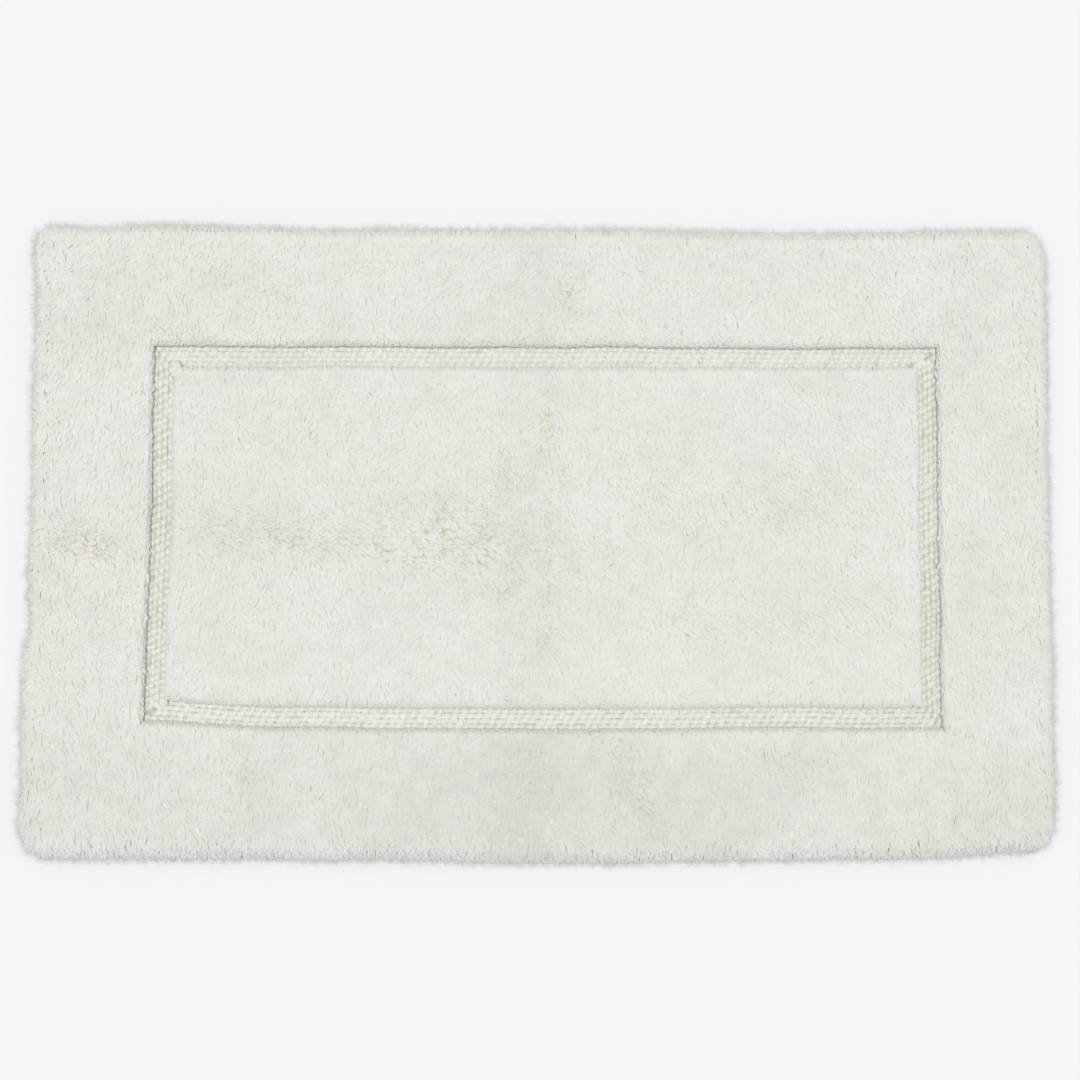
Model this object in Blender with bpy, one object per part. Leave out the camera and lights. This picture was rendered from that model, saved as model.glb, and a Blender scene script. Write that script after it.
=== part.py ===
"""Tufted cotton bath mat with a loop-pile frame, built from its sewn and tufted pieces.

Metres, +Z up. The mat lies flat on its back: the origin is the middle of its underside, X runs along
its long edge and -Y is the front. From the floor upwards it is made of
  - a rubbery latex coat and four lengths of hem tape, side by side,
  - the woven ground cloth, which every yarn is tufted through,
  - a cut-pile centre panel, four rows of loops round it, and four lengths of cut-pile border,
  - the two threads of the hem seam, one above the cloth and one below the tape.
"""

import math

import bmesh
import bpy

# Overall size, over the pile.
LENGTH = 0.800
WIDTH = 0.500
HEIGHT = 0.024
CORNER_RADIUS = 0.022

# Clearance between neighbouring pieces.
GAP = 0.0003

# The layers under the pile.
LATEX_THICKNESS = 0.0012
TAPE_THICKNESS = 0.0012
TAPE_WIDTH = 0.020
CLOTH_THICKNESS = 0.0012
CLOTH_INSET = 0.010

# The hem seam: a line of stitches that runs round the mat through tape and cloth.
SEAM_INSET = 0.018
THREAD_WIDTH = 0.0008
THREAD_THICKNESS = 0.0004

# The cut-pile border.
BORDER_WIDTH = 0.094
BORDER_FOOT_HEIGHT = 0.0006
BORDER_FOOT_SPREAD = 0.004
BORDER_BULGE_HEIGHT = 0.008
BORDER_SHOULDER = 0.012

# The frame of loops, and the shoulders of the cut pile on either side of it.
LOOP_ROWS = 4
LOOP_WIDTH = 0.0039
LOOP_HEIGHT = 0.0110
PILE_SHOULDER = 0.004
PANEL_CORNER_RADIUS = 0.003

# The blank care label, caught in the back hem near the left corner.
LABEL_WIDTH = 0.030
LABEL_LENGTH = 0.042
LABEL_THICKNESS = 0.0004
LABEL_FROM_LEFT = 0.120

# How finely round shapes are divided, and how their meshes are finished.
CORNER_STEPS = 4
SHOULDER_STEPS = 6
SMALLEST_RADIUS = 0.001
WELD_DISTANCE = 0.000001
SHARP_ANGLE = 35

# Heights of the layers, from the floor upwards. Coat, tape and label all lie against the cloth above them.
BASE_TOP = max(LATEX_THICKNESS, TAPE_THICKNESS)
LATEX_BOTTOM = BASE_TOP - LATEX_THICKNESS
TAPE_BOTTOM = BASE_TOP - TAPE_THICKNESS
LABEL_BOTTOM = BASE_TOP - LABEL_THICKNESS
CLOTH_BOTTOM = BASE_TOP + GAP
CLOTH_TOP = CLOTH_BOTTOM + CLOTH_THICKNESS
PILE_BOTTOM = CLOTH_TOP + GAP
GROOVE_HALF_WIDTH = THREAD_WIDTH / 2 + GAP
GROOVE_DEPTH = THREAD_THICKNESS + GAP

# Distances in from the outer edge of the mat.
TAPE_OUTER = CLOTH_INSET + GAP
TAPE_INNER = TAPE_OUTER + TAPE_WIDTH
LATEX_INSET = TAPE_INNER + GAP
LOOP_PITCH = LOOP_WIDTH + GAP
PANEL_INSET = BORDER_WIDTH + GAP + LOOP_ROWS * LOOP_PITCH

# Each side is modelled as the front one and turned about Z, in degrees.
SIDES = {"front": 0, "right": 90, "back": 180, "left": 270}


def clear_scene():
    for old in list(bpy.data.objects):
        bpy.data.objects.remove(old, do_unlink=True)


def make_material(name, colour, roughness):
    material = bpy.data.materials.new(name)
    material.use_nodes = True
    shader = material.node_tree.nodes["Principled BSDF"]
    shader.inputs["Base Color"].default_value = (*colour, 1.0)
    shader.inputs["Roughness"].default_value = roughness
    shader.inputs["Metallic"].default_value = 0.0
    return material


def add_piece(name, shape, material, mat_frame, turn=0):
    """Makes the bmesh a named object under the mat's frame, turned about Z by so many degrees."""
    bmesh.ops.remove_doubles(shape, verts=shape.verts, dist=WELD_DISTANCE)
    bmesh.ops.recalc_face_normals(shape, faces=shape.faces)
    mesh = bpy.data.meshes.new(name)
    shape.to_mesh(mesh)
    shape.free()
    mesh.shade_smooth()
    mesh.set_sharp_from_angle(angle=math.radians(SHARP_ANGLE))
    mesh.materials.append(material)
    piece = bpy.data.objects.new(name, mesh)
    piece.parent = mat_frame
    piece.rotation_euler.z = math.radians(turn)
    bpy.context.scene.collection.objects.link(piece)
    return piece


def arc(centre, radii, start, end, steps):
    """Points of an elliptical arc between two angles in degrees, both ends included."""
    points = []
    for step in range(steps + 1):
        angle = math.radians(start + (end - start) * step / steps)
        points.append((centre[0] + radii[0] * math.cos(angle), centre[1] + radii[1] * math.sin(angle)))
    return points


def rounded_rectangle(half_x, half_y, radius):
    """Plan outline of a rectangle with round corners, anticlockwise."""
    corners = ((1, 1, 0), (-1, 1, 90), (-1, -1, 180), (1, -1, 270))
    outline = []
    for sign_x, sign_y, start in corners:
        centre = (sign_x * (half_x - radius), sign_y * (half_y - radius))
        outline += arc(centre, (radius, radius), start, start + 90, 2 * CORNER_STEPS)
    return outline


def mat_outline(inset):
    """Plan outline of the mat at a distance in from its edge: the corners tighten as the inset grows."""
    radius = max(CORNER_RADIUS - inset, SMALLEST_RADIUS)
    return rounded_rectangle(LENGTH / 2 - inset, WIDTH / 2 - inset, radius)


def loft(rings, closed=False):
    """Skins a list of rings of points; a closed loft joins the last ring to the first, an open one is capped."""
    shape = bmesh.new()
    loops = [[shape.verts.new(point) for point in ring] for ring in rings]
    count = len(loops[0])
    last = len(loops) if closed else len(loops) - 1
    for index in range(last):
        lower = loops[index]
        upper = loops[(index + 1) % len(loops)]
        for corner in range(count):
            following = (corner + 1) % count
            shape.faces.new((lower[corner], lower[following], upper[following], upper[corner]))
    if not closed:
        shape.faces.new(loops[0][::-1])
        shape.faces.new(loops[-1])
    return shape


def slab(outline, bottom, top):
    """A flat sheet with the plan outline given, between two heights."""
    return loft([[(x, y, height) for x, y in outline] for height in (bottom, top)])


def side_strip(profile, turn):
    """Sweeps a profile of (inset, height) points along one side of the mat, mitred at both ends.

    An inset smaller than the corner radius follows the round corner as far as the mitre.
    """
    lengthwise = turn % 180 == 0
    half_along = (LENGTH if lengthwise else WIDTH) / 2
    half_across = (WIDTH if lengthwise else LENGTH) / 2
    mitre_shift = GAP / math.sqrt(2)
    rings = []
    for end in (-1, 1):
        angles = [math.radians(45 * step / CORNER_STEPS) for step in range(CORNER_STEPS + 1)]
        if end < 0:
            angles.reverse()
        for angle in angles:
            ring = []
            for inset, height in profile:
                radius = max(CORNER_RADIUS - inset, 0.0)
                centre = max(CORNER_RADIUS, inset)
                along = half_along - centre + radius * math.sin(angle) - mitre_shift
                across = half_across - centre + radius * math.cos(angle)
                ring.append((end * along, -across, height))
            rings.append(ring)
    return loft(rings)


def seam_loop(bottom):
    """One thread of the hem seam: a flat strand that runs right round the mat."""
    outer = mat_outline(SEAM_INSET - THREAD_WIDTH / 2)
    inner = mat_outline(SEAM_INSET + THREAD_WIDTH / 2)
    top = bottom + THREAD_THICKNESS
    levels = ((outer, bottom), (outer, top), (inner, top), (inner, bottom))
    return loft([[(x, y, height) for x, y in outline] for outline, height in levels], closed=True)


def latex_coat():
    """The coat fills the middle of the underside, and leaves a notch where the care label lies."""
    half_x = LENGTH / 2 - LATEX_INSET
    half_y = WIDTH / 2 - LATEX_INSET
    notch_left = -LENGTH / 2 + LABEL_FROM_LEFT - GAP
    notch_right = notch_left + LABEL_WIDTH + 2 * GAP
    notch_front = WIDTH / 2 - TAPE_INNER - LABEL_LENGTH - 2 * GAP
    outline = [
        (-half_x, -half_y),
        (half_x, -half_y),
        (half_x, half_y),
        (notch_right, half_y),
        (notch_right, notch_front),
        (notch_left, notch_front),
        (notch_left, half_y),
        (-half_x, half_y),
    ]
    return slab(outline, LATEX_BOTTOM, BASE_TOP)


def care_label():
    """A short blank ribbon that starts beside the tape of the back hem."""
    left = -LENGTH / 2 + LABEL_FROM_LEFT
    back = WIDTH / 2 - TAPE_INNER - GAP
    front = back - LABEL_LENGTH
    outline = [(left, front), (left + LABEL_WIDTH, front), (left + LABEL_WIDTH, back), (left, back)]
    return slab(outline, LABEL_BOTTOM, BASE_TOP)


def hem_tape_profile():
    """Flat tape with a shallow bed in its underside for the seam's lower thread."""
    bed_outer = SEAM_INSET - GROOVE_HALF_WIDTH
    bed_inner = SEAM_INSET + GROOVE_HALF_WIDTH
    bed_top = TAPE_BOTTOM + GROOVE_DEPTH
    return [
        (TAPE_OUTER, TAPE_BOTTOM),
        (TAPE_OUTER, BASE_TOP),
        (TAPE_INNER, BASE_TOP),
        (TAPE_INNER, TAPE_BOTTOM),
        (bed_inner, TAPE_BOTTOM),
        (bed_inner, bed_top),
        (bed_outer, bed_top),
        (bed_outer, TAPE_BOTTOM),
    ]


def border_profile():
    """Cut pile that bulges over the edge of the cloth almost to the floor, and drops to the loops inside."""
    foot_inner = CLOTH_INSET - GAP
    bulge_rise = BORDER_BULGE_HEIGHT - BORDER_FOOT_HEIGHT
    shoulder_rise = HEIGHT - BORDER_BULGE_HEIGHT
    shoulder_centre = (BORDER_SHOULDER, BORDER_BULGE_HEIGHT)
    foot_centre = (BORDER_FOOT_SPREAD, BORDER_BULGE_HEIGHT)
    inner_centre = (BORDER_WIDTH - PILE_SHOULDER, HEIGHT - PILE_SHOULDER)
    profile = [(foot_inner, PILE_BOTTOM), (foot_inner, BORDER_FOOT_HEIGHT)]
    profile += arc(foot_centre, (BORDER_FOOT_SPREAD, bulge_rise), 270, 180, SHOULDER_STEPS)
    profile += arc(shoulder_centre, (BORDER_SHOULDER, shoulder_rise), 180, 90, SHOULDER_STEPS)[1:]
    profile += arc(inner_centre, (PILE_SHOULDER, PILE_SHOULDER), 90, 0, SHOULDER_STEPS)
    profile += [
        (BORDER_WIDTH, PILE_BOTTOM),
        (SEAM_INSET + GROOVE_HALF_WIDTH, PILE_BOTTOM),
        (SEAM_INSET + GROOVE_HALF_WIDTH, PILE_BOTTOM + GROOVE_DEPTH),
        (SEAM_INSET - GROOVE_HALF_WIDTH, PILE_BOTTOM + GROOVE_DEPTH),
        (SEAM_INSET - GROOVE_HALF_WIDTH, PILE_BOTTOM),
    ]
    return profile


def loop_row_profile(row):
    """One row of loops: a bar with a round top, counted inwards from the border."""
    outer = BORDER_WIDTH + GAP + row * LOOP_PITCH
    half = LOOP_WIDTH / 2
    spring = PILE_BOTTOM + LOOP_HEIGHT - half
    profile = [(outer, PILE_BOTTOM)]
    profile += arc((outer + half, spring), (half, half), 180, 0, SHOULDER_STEPS)
    profile.append((outer + LOOP_WIDTH, PILE_BOTTOM))
    return profile


def centre_pile():
    """The cut-pile panel inside the loops, upright at its edge and rounded at its shoulder."""
    shoulder_base = HEIGHT - PILE_SHOULDER
    section = [(0.0, PILE_BOTTOM)]
    section += [
        (PILE_SHOULDER - across, height)
        for across, height in arc((0.0, shoulder_base), (PILE_SHOULDER, PILE_SHOULDER), 0, 90, SHOULDER_STEPS)
    ]
    rings = []
    for inset, height in section:
        half_x = LENGTH / 2 - PANEL_INSET - inset
        half_y = WIDTH / 2 - PANEL_INSET - inset
        outline = rounded_rectangle(half_x, half_y, PANEL_CORNER_RADIUS)
        rings.append([(x, y, height) for x, y in outline])
    return loft(rings)


def build_mat():
    cut_pile = make_material("cut_pile_cotton", (0.83, 0.82, 0.77), 0.95)
    loop_pile = make_material("loop_pile_cotton", (0.83, 0.81, 0.74), 0.92)
    ground = make_material("ground_cloth_cotton", (0.72, 0.69, 0.60), 0.90)
    latex = make_material("latex_coat", (0.78, 0.76, 0.70), 0.62)
    tape = make_material("hem_tape_cotton", (0.80, 0.78, 0.72), 0.88)
    thread = make_material("seam_thread", (0.84, 0.83, 0.79), 0.70)
    ribbon = make_material("label_ribbon", (0.88, 0.88, 0.86), 0.50)

    mat_frame = bpy.data.objects.new("mat_frame", None)
    bpy.context.scene.collection.objects.link(mat_frame)

    add_piece("ground_cloth", slab(mat_outline(CLOTH_INSET), CLOTH_BOTTOM, CLOTH_TOP), ground, mat_frame)
    add_piece("latex_backing", latex_coat(), latex, mat_frame)
    add_piece("care_label", care_label(), ribbon, mat_frame)
    add_piece("centre_pile", centre_pile(), cut_pile, mat_frame)
    for side, turn in SIDES.items():
        add_piece(f"border_pile_{side}", side_strip(border_profile(), turn), cut_pile, mat_frame, turn)
        add_piece(f"hem_tape_{side}", side_strip(hem_tape_profile(), turn), tape, mat_frame, turn)
        for row in range(LOOP_ROWS):
            name = f"loop_row_{side}_{row + 1}"
            add_piece(name, side_strip(loop_row_profile(row), turn), loop_pile, mat_frame, turn)
    add_piece("seam_needle_thread", seam_loop(PILE_BOTTOM), thread, mat_frame)
    add_piece("seam_bobbin_thread", seam_loop(TAPE_BOTTOM), thread, mat_frame)


clear_scene()
build_mat()
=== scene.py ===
# %% [markdown]
# # A tufted cotton bath mat
# The mat is cotton yarn punched through a woven cloth. Most yarn is cut into a deep pile, and a
# narrow frame round the middle is left as low loops. Latex on the back locks the yarn, and tape is
# sewn round the edge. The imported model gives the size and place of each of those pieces. This
# script makes what the eye and hand meet: the yarn ends, the loops, the cloth and the stitches.

# %% The frame
import math

import bpy
import numpy as np
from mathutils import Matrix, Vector


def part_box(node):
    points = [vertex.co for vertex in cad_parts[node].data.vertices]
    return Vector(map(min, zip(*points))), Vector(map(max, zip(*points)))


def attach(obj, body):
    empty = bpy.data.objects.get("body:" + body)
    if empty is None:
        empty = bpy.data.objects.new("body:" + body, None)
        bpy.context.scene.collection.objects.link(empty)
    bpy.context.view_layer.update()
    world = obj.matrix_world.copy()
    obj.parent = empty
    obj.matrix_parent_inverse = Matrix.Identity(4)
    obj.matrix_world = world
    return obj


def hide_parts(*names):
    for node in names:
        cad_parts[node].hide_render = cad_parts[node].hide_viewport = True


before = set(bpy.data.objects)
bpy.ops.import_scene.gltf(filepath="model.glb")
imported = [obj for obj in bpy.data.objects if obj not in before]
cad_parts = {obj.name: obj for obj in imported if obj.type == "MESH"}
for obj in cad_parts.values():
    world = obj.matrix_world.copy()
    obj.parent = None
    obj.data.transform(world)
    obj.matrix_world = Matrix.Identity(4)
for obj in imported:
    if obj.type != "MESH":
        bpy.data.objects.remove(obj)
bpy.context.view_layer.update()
SIDES = ("front", "right", "back", "left")
MM = 0.001
print("packed nodes:", len(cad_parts))

# %% [markdown]
# ## Sizes
# Every length below but the corner radius is read from the imported model, so the yarn stands
# exactly where the plain solids stand. An inset is a distance in from the outer edge of the mat,
# which is how a maker thinks of a border: so much pile, then the loops, then the panel.

# %% Sizes read from the frame
border_low, border_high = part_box("border_pile_front")
panel_low, panel_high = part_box("centre_pile")
loop_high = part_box("loop_row_front_1")[1]
cloth_low, cloth_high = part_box("ground_cloth")
half_x = -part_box("border_pile_left")[0].x
half_y = -border_low.y
pile_top = panel_high.z
pile_foot = panel_low.z
border_inner = half_y + border_high.y
panel_inset = half_y + panel_low.y
loop_top = loop_high.z
cloth_inset = half_x + cloth_low.x
CORNER = 22 * MM
print(f"border {border_inner / MM:.1f} mm wide, panel starts {panel_inset / MM:.1f} mm in")

# %% [markdown]
# ## Chance, always the same
# Cloth is never regular, but a script has to give the same mat each time. Every draw comes from a
# generator with a fixed seed. `soft_noise` is value noise: random numbers on a coarse grid, with
# smooth slopes between them, which is what a hand brushed over the pile leaves behind.


# %% Seeded chance
def chance(seed):
    return np.random.default_rng(seed)


def smooth(low, high, value):
    """0 below low, 1 above high and an S-curve between."""
    t = np.clip((value - low) / (high - low), 0.0, 1.0)
    return t * t * (3 - 2 * t)


def bump(value, middle, width):
    """A bell of height 1."""
    return np.exp(-(((value - middle) / width) ** 2))


def unit(vectors):
    """The same directions at length 1."""
    return vectors / np.linalg.norm(vectors, axis=-1, keepdims=True)


NOISE_CELLS = 97
NOISE_START = (31.7, 47.3)


def soft_noise(x, y, size, seed):
    grid = chance(seed).uniform(-1, 1, (NOISE_CELLS, NOISE_CELLS))
    u, v = np.asarray(x) / size + NOISE_START[0], np.asarray(y) / size + NOISE_START[1]
    i, j = np.floor(u).astype(int), np.floor(v).astype(int)
    s, t = smooth(0, 1, u - i), smooth(0, 1, v - j)
    next_i, next_j = (i + 1) % NOISE_CELLS, (j + 1) % NOISE_CELLS
    i, j = i % NOISE_CELLS, j % NOISE_CELLS
    low = grid[i, j] * (1 - s) + grid[next_i, j] * s
    high = grid[i, next_j] * (1 - s) + grid[next_i, next_j] * s
    return low * (1 - t) + high * t


# %% [markdown]
# ## How the mat lies
# A soft mat put down by hand is never a true rectangle. One corner is pulled out, the edges wander
# and the frame of loops isn't quite in the middle. `lay` moves points in plan, by a centimetre at
# most, and every piece goes through it last, so that they all stay together.


# %% The lay of the cloth
def rise_and_fall(value, start, end):
    return np.sin(math.pi * np.clip((value - start) / (end - start), 0, 1))


def lay(points):
    x, y = points[:, 0].copy(), points[:, 1].copy()
    moved = points.copy()
    left, right = smooth(0.10, -0.40, x), smooth(0.28, 0.40, x)
    front, back = smooth(-0.10, -0.25, y), smooth(0.10, 0.25, y)
    moved[:, 0] -= 5.0 * MM * left * smooth(0.08, -0.20, y)
    moved[:, 0] += 3.0 * MM * smooth(-0.30, -0.39, x) * bump(y, -0.066, 0.024)
    moved[:, 0] += 2.0 * MM * rise_and_fall(x, -0.40, -0.12)
    moved[:, 0] += 7.0 * MM * rise_and_fall(x, 0.12, 0.40)
    moved[:, 0] += 1.5 * MM * smooth(-0.30, -0.40, x) - 1.5 * MM * right
    moved[:, 1] += back * (3.5 * MM * bump(x, -0.30, 0.07) - 4.0 * MM * bump(x, 0.21, 0.10))
    moved[:, 1] += front * (-3.0 * MM * bump(x, 0.03, 0.13) + 6.0 * MM * right)
    moved[:, 1] += 9.0 * MM * rise_and_fall(y, -0.25, -0.05)
    moved[:, 1] += 6.0 * MM * smooth(-0.20, -0.31, x) * bump(y, -0.147, 0.035)
    moved[:, 1] -= 2.5 * MM * rise_and_fall(y, 0.05, 0.25)
    moved[:, 1] -= 2.5 * MM * smooth(0.18, 0.25, y) - 2.0 * MM * smooth(-0.18, -0.25, y)
    square = bump(np.hypot(x + half_x, y - half_y), 0, 0.022)
    moved[:, 0] -= 4.0 * MM * square
    moved[:, 1] += 4.0 * MM * square
    moved[:, 0] += 0.8 * MM * soft_noise(x, y, 0.045, 11)
    moved[:, 1] += 0.8 * MM * soft_noise(x, y, 0.045, 12)
    return moved


# %% [markdown]
# ## From numbers to a mesh
# The pile has more than a million points, too many to add one by one. Blender can take whole arrays
# at once: the points, the corner list and where each face starts. `make_piece` does that, lays the
# points, smooths the shading, rides the piece on the mat and hides the imported solids it stands
# for.


# %% Mesh from arrays
def show(thing):
    bpy.context.scene.collection.objects.link(thing)


def make_mesh(name, points, faces):
    """A mesh from points and a list of arrays of faces, each array with one corner count."""
    mesh = bpy.data.meshes.new(name)
    counts = np.concatenate([np.full(len(group), group.shape[1]) for group in faces])
    corners = np.concatenate([group.ravel() for group in faces])
    starts = np.concatenate([[0], np.cumsum(counts)[:-1]])
    mesh.vertices.add(len(points))
    mesh.vertices.foreach_set("co", points.astype(np.float32).ravel())
    mesh.loops.add(len(corners))
    mesh.loops.foreach_set("vertex_index", corners.astype(np.int32))
    mesh.polygons.add(len(counts))
    mesh.polygons.foreach_set("loop_start", starts.astype(np.int32))
    mesh.update(calc_edges=True)
    return mesh


def make_piece(name, points, faces, finish, slot, stands_for=(), smooth_shading=True):
    mesh = make_mesh(name, lay(points), faces)
    if smooth_shading:
        mesh.shade_smooth()
    mesh.materials.append(finish)
    piece = bpy.data.objects.new(name, mesh)
    show(piece)
    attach(piece, "root")
    if stands_for:
        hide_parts(*stands_for)
    return piece


def add_numbers(piece, **numbers):
    """Gives each point of the piece numbers that a material can read by name."""
    for name, values in numbers.items():
        attribute = piece.data.attributes.new(name, "FLOAT", "POINT")
        attribute.data.foreach_set("value", values.astype(np.float32))


# %% [markdown]
# ## Materials as sums
# A node tree is easier to read as arithmetic. `Wire` wraps a socket, so that `a * 0.5 + b` adds the
# Math nodes for it, and `Finish` holds one material: its `node` method makes any other node from
# its type, its settings and what goes into its sockets.


# %% Wires and finishes
class Wire:
    """A node's output, which takes part in sums."""

    def __init__(self, finish, socket):
        self.finish = finish
        self.socket = socket

    def sum_with(self, operation, other):
        return self.finish.node("ShaderNodeMath", {"operation": operation}, {0: self, 1: other})

    def __add__(self, other):
        return self.sum_with("ADD", other)

    def __mul__(self, other):
        return self.sum_with("MULTIPLY", other)


class Finish:
    """One material: its shader takes plain values by name, other nodes are made as needed."""

    def __init__(self, name, **fixed):
        self.material = bpy.data.materials.new(name)
        self.material.use_nodes = True
        self.tree = self.material.node_tree
        self.shader = self.tree.nodes["Principled BSDF"]
        for socket, value in fixed.items():
            self.shader.inputs[socket.replace("_", " ")].default_value = value

    def plug(self, value, socket):
        if isinstance(value, Wire):
            self.tree.links.new(value.socket, socket)
        else:
            socket.default_value = value

    def node(self, kind, settings=None, sockets=None, output=0):
        made = self.tree.nodes.new(kind)
        for name, value in (settings or {}).items():
            setattr(made, name, value)
        for name, value in (sockets or {}).items():
            self.plug(value, made.inputs[name])
        return Wire(self, made.outputs[output])

    def place(self):
        return self.node("ShaderNodeTexCoord", output="Object")

    def number(self, name):
        return self.node("ShaderNodeAttribute", {"attribute_name": name}, output="Fac")

    def noise(self, scale, detail=2.0, stretch=(1, 1, 1)):
        settings = {"operation": "MULTIPLY"}
        where = self.node("ShaderNodeVectorMath", settings, {0: self.place(), 1: stretch})
        sockets = {"Vector": where, "Scale": scale, "Detail": detail}
        return self.node("ShaderNodeTexNoise", {}, sockets)

    def sine(self, value):
        return self.node("ShaderNodeMath", {"operation": "SINE"}, {0: value})

    def mix(self, first, second, share):
        settings = {"data_type": "RGBA", "clamp_factor": True}
        return self.node("ShaderNodeMix", settings, {0: share, 6: first, 7: second}, output=2)

    def ramp(self, value, low, high):
        """0 below low and 1 above high."""
        settings = {"interpolation_type": "SMOOTHSTEP"}
        return self.node("ShaderNodeMapRange", settings, {0: value, 1: low, 2: high})

    def blend(self, first, second, value, low, high):
        """The first colour where the value is below low, the second where it is above high."""
        return self.mix(first, second, self.ramp(value, low, high))

    def bumps(self, height, distance):
        sockets = {"Height": height, "Distance": distance}
        self.feed(Normal=self.node("ShaderNodeBump", {}, sockets))

    def feed(self, **values):
        for socket, value in values.items():
            self.plug(value, self.shader.inputs[socket.replace("_", " ")])


def shade(red, green, blue):
    """A colour given as it is displayed, from 0 to 255, as the light that shaders use."""
    values = [channel / 255 for channel in (red, green, blue)]
    light = [v / 12.92 if v <= 0.04045 else ((v + 0.055) / 1.055) ** 2.4 for v in values]
    return (*light, 1.0)


print("mid grey gives off", round(shade(128, 128, 128)[0], 3), "of white")

# %% [markdown]
# ## Cut pile cotton
# Undyed brushed cotton scatters nearly all light, so its clefts are hardly darker than its tips.
# Their colour is painted shade: the foot of each yarn is a darker cream for the shade and bounced
# light deep in the pile, and where the pile is parted painted shade turns the feet tan. Each yarn
# end brings four numbers, made with its mesh: how far along it a point is, its own tone, how much
# painted cleft shade it takes, after how far the pile is parted there, and how far painted shade and
# wear grey it.


# %% The cotton finishes
def cotton(name, tip, foot, parted, depth, cleft_warmth):
    finish = Finish(
        name, Roughness=0.95, Specular_IOR_Level=0.2, Sheen_Weight=0.25, Sheen_Roughness=0.6
    )
    # Painted shade: the lower part of each yarn takes the foot colour, a darker cream for the shade
    # and bounced light deep in the pile.
    along = finish.ramp(finish.number("along"), 0.05, depth)
    cloud = finish.noise(9.0, 3.0)
    tone = finish.number("tone") * 0.5 + 0.5
    warm_tip = finish.mix(foot, tip, 0.55)
    tip_colour = finish.mix(tip, warm_tip, finish.ramp(cloud, 0.42, 0.75) * 0.5)
    tip_colour = finish.mix(tip_colour, shade(232, 232, 225), tone * 0.3)
    # Painted light: in the clefts of parted pile the tips are tinted warm, standing in for light
    # bounced between yarns.
    tip_colour = finish.mix(tip_colour, shade(230, 222, 198), finish.number("warm") * cleft_warmth)
    # Painted shade and wear: the tips are mixed towards grey, most towards the front and along the
    # fold.
    tip_colour = finish.mix(tip_colour, shade(212, 213, 207), finish.number("worn"))
    # Painted shade: in the clefts the foot turns to the darker parted colour.
    foot_colour = finish.mix(foot, parted, finish.number("warm"))
    finish.feed(Base_Color=finish.mix(foot_colour, tip_colour, along))
    return finish.material


# The foot and parted colours are painted shade for the depths and the clefts of the pile.
cut_pile = cotton(
    "cut_pile_cotton",
    tip=shade(236, 236, 233),
    foot=shade(231, 229, 209),
    parted=shade(168, 158, 130),
    depth=0.75,
    cleft_warmth=0.5,
)
loop_pile = cotton(
    "loop_pile_cotton",
    tip=shade(243, 243, 238),
    foot=shade(222, 219, 205),
    parted=shade(190, 182, 160),
    depth=0.5,
    cleft_warmth=0.12,
)
print("finishes:", cut_pile.name, loop_pile.name)

# %% [markdown]
# ## Where the pile is parted
# The mat was packed folded in four, so the pile opens along its two middle lines, and here and there
# a thumb or the packing has rucked it. Each ruck is an ellipse in which the yarn lies another way.

# %% The parted places
# Middle x and y, half lengths along x and y, slant, strength, and the way the yarn lies in there.
RUCKS = (
    (-0.150, -0.005, 0.120, 0.020, -5, 1.0, -8),
    (-0.055, -0.006, 0.080, 0.034, -12, 1.0, -28),
    (-0.250, 0.002, 0.050, 0.018, -8, 0.75, -12),
    (-0.355, -0.006, 0.042, 0.016, -6, 1.0, -10),
    (-0.025, -0.036, 0.022, 0.020, 0, 0.8, -65),
    (0.007, 0.085, 0.009, 0.036, -4, 1.0, -70),
    (0.006, -0.020, 0.006, 0.060, 0, 0.8, -80),
    (0.020, 0.045, 0.005, 0.016, 0, 0.8, -80),
    (0.004, -0.085, 0.009, 0.022, 0, 0.7, -80),
    (-0.025, 0.050, 0.030, 0.040, 0, 0.4, -60),
    (0.010, -0.075, 0.012, 0.030, 0, 0.5, -70),
    (0.175, 0.022, 0.080, 0.026, 0, 0.55, -50),
    (0.085, 0.040, 0.035, 0.034, 0, 0.45, -60),
    (0.160, -0.075, 0.080, 0.016, -4, 0.5, -40),
    (0.225, -0.055, 0.040, 0.030, 0, 0.4, -50),
    (0.072, -0.190, 0.018, 0.050, 25, 1.0, -65),
    (0.045, -0.160, 0.012, 0.016, 0, 0.7, -75),
    (0.024, 0.192, 0.010, 0.016, 0, 1.0, -75),
    (-0.226, -0.191, 0.012, 0.018, 0, 0.7, -60),
    (0.330, -0.006, 0.014, 0.008, -20, 1.0, -30),
    (0.382, 0.150, 0.006, 0.014, 0, 0.8, -85),
    (-0.215, 0.190, 0.024, 0.012, 0, 0.6, -70),
    (0.190, -0.185, 0.040, 0.014, 0, 0.5, -40),
    (-0.300, 0.170, 0.020, 0.012, 0, 0.4, -50),
)


def parting(x, y):
    """How far the pile is parted, from 0 to 1, and the direction in plan in which it then lies."""
    total = np.zeros_like(x)
    toward_x, toward_y = np.zeros_like(x), np.zeros_like(y)
    for middle_x, middle_y, long_x, long_y, slant, strength, lie in RUCKS:
        c, s = math.cos(math.radians(slant)), math.sin(math.radians(slant))
        across = ((x - middle_x) * c + (y - middle_y) * s) / long_x
        up = ((y - middle_y) * c - (x - middle_x) * s) / long_y
        here = strength * np.exp(-((across**2 + up**2) ** 1.2))
        total = np.maximum(total, here)
        toward_x += here * math.cos(math.radians(lie))
        toward_y += here * math.sin(math.radians(lie))
    ragged = 0.75 + 0.45 * soft_noise(x, y, 0.009, 21)
    return np.clip(total * ragged, 0, 1), toward_x, toward_y


# %% [markdown]
# ## The lean of the pile
# Brushed pile doesn't stand: each cut end lies over on the next, like thatch. These ends lie towards
# the front, wander a little in patches and fall away on both sides of a fold. `flow` gives the
# direction in plan in which the ends lie.


# %% The way the pile lies
def fold_away(value, middle, width):
    offset = (value - middle) / width
    return offset * np.exp(0.5 - offset**2) * 1.2


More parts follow.
